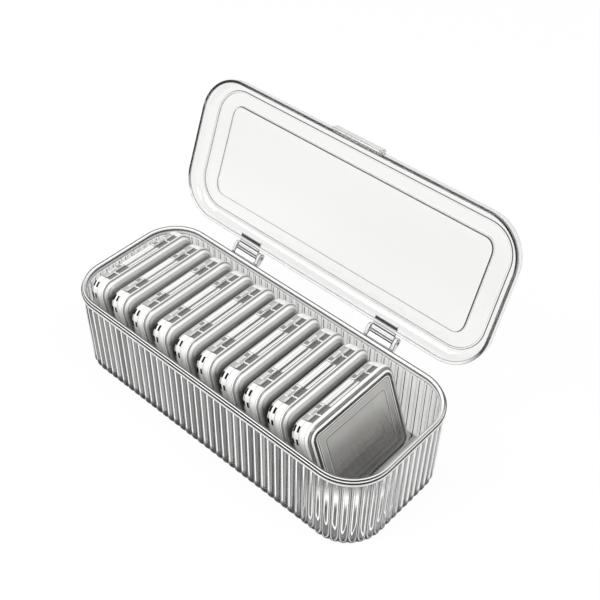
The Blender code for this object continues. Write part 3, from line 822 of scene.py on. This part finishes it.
# %% Side views of a hinge
def round_points(radius, start, end, steps):
    """Points of a side view on an arc about the hinge axis."""
    turns = [radians(start + (end - start) * step / steps) for step in range(steps + 1)]
    return [(radius * cos(turn), radius * sin(turn)) for turn in turns]


heel = [(y * cos(open_turn) - z * sin(open_turn), y * sin(open_turn) + z * cos(open_turn))
        for y, z in ((-4.45, -2.2), (-4.45, -3.8))]
leaf_face, groove_bed = -1.7, -1.25
barrel_radius, ear_radius = 2.4, 2.6
leaf_view = [(-9.0, -0.1), (-9.0, leaf_face)]
for low, high in ((-8.7, -6.9), (-5.7, -4.9), (-4.0, -3.2)):
    leaf_view += [(low, leaf_face), (low, groove_bed), (high, groove_bed), (high, leaf_face)]
leaf_view += (round_points(barrel_radius, -135, -60, 6) + heel
              + round_points(barrel_radius, -15, 180, 12) + [(-barrel_radius, -0.1)])
ear_view = ([(-6.2, -6.1), (-4.4, -6.1)] + round_points(ear_radius, -60, 135, 12)
            + [(-4.4, -2.3), (-6.2, -2.3)])
print("An ear is drawn from", len(ear_view), "points and a leaf from", len(leaf_view))

# %% [markdown]
# The beds of the leaf's grooves get the dark plastic as painted shade, and so do two strips
# along its barrel, beside the heel. All of them are told by where the middle of a face lies.

# %% Hinge ears and leaves
hinge_from_middle = 51
leaf_width, ear_width, ear_from_middle = 15.2, 2.2, 9.1
ear_bevel, leaf_bevel = 0.3, 0.12
barrel_shade_strips = ((-120, -103), (-84, -66))
for side, name in ((-1, "left"), (1, "right")):
    middle = side * hinge_from_middle * mm
    for end in (-1, 1):
        ear = prism(ear_view, ear_width * mm, middle + end * ear_from_middle * mm, ear_bevel)
        bmesh.ops.translate(ear, vec=(0, hinge_y, hinge_z), verts=ear.verts)
        where = "outer" if end == side else "inner"
        new_piece(f"hinge_ear_{name}_{where}", ear, [ear_plastic, edge_painted_shade], "box", ())
    pin = frame["nodes"]["hinge_pin_" + name].data
    pin.materials.clear()
    pin.materials.append(steel)
    leaf = prism(leaf_view, leaf_width * mm, middle, leaf_bevel)
    for face in leaf.faces:
        y, z = face.calc_center_median().yz / mm
        turn = atan2(z, y) * 180 / pi
        # Groove beds and two barrel strips get painted shade.
        groove = -1.45 < z < -1.15 and y < -2.6
        strip = y > -barrel_radius and any(low < turn < high for low, high in barrel_shade_strips)
        if groove or strip:
            face.material_index = 1
    bmesh.ops.transform(leaf, matrix=swing, verts=leaf.verts)
    new_piece("ribbed_leaf_" + name, leaf, [hinge_plastic, edge_painted_shade], "main_lid",
              ["hinge_leaf_" + name])
    print("The", name, "hinge stands at", round(middle / mm, 1), "mm")

# %% [markdown]
# ## The mini cases
#
# A mini case is two half shells hinged along their top edge. Both are drawn once, upright and
# about that hinge axis, and then copied to the ten places that the frame's joints give. The
# first nine lean 12 degrees, the last one 20. Pockets, knuckles and slots are cut and joined
# with Boolean modifiers, since they cross the curved wall anywhere.

# %% Case sizes and helpers
case_top, case_width, case_corner = 56.5, 69.6, 8.5
case_size = (case_top * mm, case_width * mm, case_corner * mm)
axis_drop = 1.0
straight = case_width - 2 * case_corner
base_knuckle, lid_knuckle, knuckle_gap, block_margin = 4.2, 4.8, 0.4, 0.6
knuckle_radius, knuckle_sides = 1.4, 24
block_length = 2 * base_knuckle + lid_knuckle + 2 * knuckle_gap
block_middle = straight / 2 - block_length / 2 - block_margin
knuckle_step = (base_knuckle + lid_knuckle) / 2 + knuckle_gap
lid_knuckles = [side * block_middle for side in (-1, 1)]
base_knuckles = [side * block_middle + end * knuckle_step for side in (-1, 1) for end in (-1, 1)]


def add_box(shape, low, high, turn=None):
    """Adds a box between two corners given in millimetres."""
    low, high = Vector(low) * mm, Vector(high) * mm
    made = bmesh.ops.create_cube(shape, size=1)["verts"]
    bmesh.ops.scale(shape, vec=high - low, verts=made)
    bmesh.ops.translate(shape, vec=(low + high) / 2, verts=made)
    if turn:
        bmesh.ops.transform(shape, matrix=turn, verts=made)


def add_rod(shape, radius, middle, length, steps):
    """Adds a closed rod on the hinge axis of a case."""
    place = Matrix.Translation((0, middle * mm, (case_top - axis_drop) * mm))
    bmesh.ops.create_cone(shape, cap_ends=True, segments=steps, radius1=radius * mm,
                          radius2=radius * mm, depth=length * mm,
                          matrix=place @ Matrix.Rotation(pi / 2, 4, "X"))


def shaped(shape, tools):
    """Applies Boolean tools to a shape, in order, and gives the finished mesh."""
    mesh = bpy.data.meshes.new("half")
    shape.to_mesh(mesh)
    shape.free()
    half = bpy.data.objects.new("half", mesh)
    bpy.context.scene.collection.objects.link(half)
    for slot_material in (case_plastic, shade):
        mesh.materials.append(slot_material)
    helpers = [half]
    for operation, tool, dark in tools:
        tool_mesh = bpy.data.meshes.new("tool")
        tool.to_mesh(tool_mesh)
        tool.free()
        for slot_material in (case_plastic, shade):
            tool_mesh.materials.append(slot_material)
        # Faces of a tool marked dark take the slot's painted shade.
        for face in tool_mesh.polygons:
            face.material_index = int(dark)
        helper = bpy.data.objects.new("tool", tool_mesh)
        bpy.context.scene.collection.objects.link(helper)
        helpers.append(helper)
        change = half.modifiers.new("change", "BOOLEAN")
        change.operation = operation
        change.solver = "EXACT"
        change.object = helper
    bpy.context.view_layer.update()
    depsgraph = bpy.context.evaluated_depsgraph_get()
    finished = bpy.data.meshes.new_from_object(half.evaluated_get(depsgraph))
    for helper in helpers:
        bpy.data.objects.remove(helper, do_unlink=True)
    return finished


# %% Half shells
shell = ([(5.4, 7.3), (4.9, 7.35), (4.6, 7.37), (4.5, 7.6), (4.3, 7.65), (4.0, 7.6), (1.6, 6.0)]
         + [(1.0, 5.62), (0.5, 5.15), (0.15, 4.6), (0.0, 4.0), (0.0, 0.4), (0.1, 0.2), (0.3, 0.15)]
         + [(1.0, 0.15), (1.15, 0.3), (1.2, 0.5), (1.2, 4.2), (1.6, 4.8), (4.4, 6.4), (5.0, 6.4)])
lay_minus = Matrix(((0, 0, -1), (0, 1, 0), (1, 0, 0))).to_4x4()
lay_plus = Matrix(((0, 0, 1), (0, -1, 0), (1, 0, 0))).to_4x4()


def half_shell(lay):
    shape = dish(case_size, rounded_plate(*case_size, 10), shell)
    bmesh.ops.transform(shape, matrix=Matrix.Translation((0, 0, case_top / 2 * mm)) @ lay,
                        verts=shape.verts)
    return shape


pocket_low, pocket_high = case_top - 2.4, case_top + 1.2
slot_half, slot_reach = 0.75, 1.7
pockets, knuckles, slots = bmesh.new(), bmesh.new(), bmesh.new()
for middle in lid_knuckles:
    add_box(pockets, (-1.8, middle - 2.8, pocket_low), (1.2, middle + 2.8, pocket_high))
for middle in base_knuckles:
    add_rod(knuckles, knuckle_radius, middle, base_knuckle, knuckle_sides)
corner = Matrix.Translation((0, -straight / 2 * mm, (case_top - case_corner) * mm))
for angle in (38, 86):
    for place in (-4.0, -1.2):
        add_box(slots, (place - slot_half, -slot_reach, case_corner - 1.1),
                (place + slot_half, slot_reach, case_corner + 1.2),
                corner @ Matrix.Rotation(radians(angle), 4, "X"))
base_half = shaped(half_shell(lay_minus), [("DIFFERENCE", pockets, False),
                                           ("UNION", knuckles, False),
                                           ("DIFFERENCE", slots, True)])

relief, webs, knuckles = bmesh.new(), bmesh.new(), bmesh.new()
add_box(relief, (-1.2, -straight / 2 + 0.3, pocket_low), (1.8, straight / 2 - 0.3, pocket_high))
for middle in lid_knuckles:
    add_box(webs, (0, middle - 2.4, case_top - 1.6), (3.0, middle + 2.4, case_top - 0.4))
    add_rod(knuckles, knuckle_radius, middle, lid_knuckle, knuckle_sides)
lid_half = shaped(half_shell(lay_plus), [("DIFFERENCE", relief, False), ("UNION", webs, False),
                                         ("UNION", knuckles, False)])
print("A case's halves have", len(base_half.polygons), "and", len(lid_half.polygons), "faces")


# %% [markdown]
# The plastic of a case is drawn by where a point lies on the case, so each half carries its
# own place in millimetres from the hinge axis, before it is leant and set in its row.

# %% Place on a case
for mesh in (base_half, lid_half):
    mesh.transform(Matrix.Translation((0, 0, -(case_top - axis_drop) * mm)))
    old = mesh.attributes.get("mould")
    if old:
        mesh.attributes.remove(old)
    mould = mesh.attributes.new("mould", "FLOAT_VECTOR", "POINT")
    for vert, value in zip(mesh.vertices, mould.data):
        value.vector = vert.co / mm
print("Places noted on", len(base_half.vertices) + len(lid_half.vertices), "points")

# %% Ten cases
case_count = 10
row_lean, end_lean = radians(12), radians(20)
places = {joint["name"]: joint["pos_m"] for joint in frame["joints"] if joint["type"] == "hinge"}
for number in range(1, case_count + 1):
    name = f"case_{number:02d}"
    lean = end_lean if number == case_count else row_lean
    place = Matrix.Translation(places[name + "_lid_hinge"]) @ Matrix.Rotation(-lean, 4, "Y")
    for half, kind, body in ((base_half, "base", name), (lid_half, "lid", name + "_lid")):
        mesh = half.copy()
        mesh.transform(place)
        if number == case_count:
            mesh.materials[0] = end_plastic
        dress(f"{name}_{kind}_shell", mesh, case_plastic, body, [f"{name}_{kind}"],
              30)
    for end in ("front", "rear"):
        pin = frame["nodes"][f"{name}_pin_{end}"].data
        pin.materials.clear()
        pin.materials.append(steel)
print(case_count, "mini cases stand in their row")

# %% [markdown]
# ## The studio
#
# The box stands on white paper under two softboxes, in a room that is white to 27 degrees
# above the horizon and grey from 40 degrees up. The grey is what draws dark lines where a
# rounded edge bends the view upwards, and the camera itself sees white all round. It also
# sees the paper almost plain white. Light that is mirrored or bent on its way to the paper
# finds it plain white in part, and the rest of the paper takes real light and shade.

# %% World
world = bpy.data.worlds.new("studio")
bpy.context.scene.world = world
world.use_nodes = True
tree = world.node_tree
tree.nodes.clear()
place = add(tree, "ShaderNodeTexCoord")
height = add(tree, "ShaderNodeSeparateXYZ", Vector=place.outputs["Generated"])
white_below, grey_above, grey = 0.45, 0.65, 0.25
fade = ramp(tree, height.outputs["Z"], white_below, grey_above, 1.0, grey)
rays = add(tree, "ShaderNodeLightPath")
level = strongest(tree, rays.outputs["Is Camera Ray"], fade)
glow = add(tree, "ShaderNodeBackground", Color=linear("#ffffff"), Strength=level)
add(tree, "ShaderNodeOutputWorld", Surface=glow)

# %% Floor
white_seen, white_through, white_mirrored = 0.94, 0.35, 0.5
paper, tree = new_material("white_paper")
rays = add(tree, "ShaderNodeLightPath")
glossy = within(tree, rays.outputs["Is Glossy Ray"], white_mirrored)
through = add(tree, "ShaderNodeMath", {"operation": "MULTIPLY_ADD"},
              _0=rays.outputs["Is Transmission Ray"], _1=white_through, _2=glossy)
share = add(tree, "ShaderNodeMath", {"operation": "MULTIPLY_ADD"},
            _0=rays.outputs["Is Camera Ray"], _1=white_seen, _2=through)
matt = add(tree, "ShaderNodeBsdfDiffuse", Color=linear("#f4f4f4"))
shine = add(tree, "ShaderNodeEmission", Color=linear("#ffffff"), Strength=1.0)
both = add(tree, "ShaderNodeMixShader", _0=share, _1=matt, _2=shine)
add(tree, "ShaderNodeOutputMaterial", Surface=both)
sheet = bmesh.new()
bmesh.ops.create_grid(sheet, x_segments=1, y_segments=1, size=10)
bmesh.ops.translate(sheet, vec=(0, 0, -0.2 * mm), verts=sheet.verts)
floor_mesh = bpy.data.meshes.new("floor")
sheet.to_mesh(floor_mesh)
sheet.free()
floor_mesh.materials.append(paper)
floor = bpy.data.objects.new("floor", floor_mesh)
bpy.context.scene.collection.objects.link(floor)


# %% Softboxes
def softbox(name, place, size, power):
    lamp = bpy.data.lights.new(name, "AREA")
    lamp.size = size
    lamp.energy = power
    holder = bpy.data.objects.new(name, lamp)
    holder.location = place
    holder.rotation_mode = "QUATERNION"
    holder.rotation_quaternion = Vector(place).to_track_quat("Z", "Y")
    bpy.context.scene.collection.objects.link(holder)


softbox("key_softbox", (-0.45, -0.85, 1.05), 0.8, 13)
softbox("fill_softbox", (0.75, 0.2, 1.15), 0.7, 9)

# %% [markdown]
# Light crosses dozens of walls on its way through ten cases, so it may bend more often than
# the usual twelve times.

# %% Light paths
bounces = 48
bpy.context.scene.cycles.max_bounces = bounces
bpy.context.scene.cycles.transmission_bounces = bounces
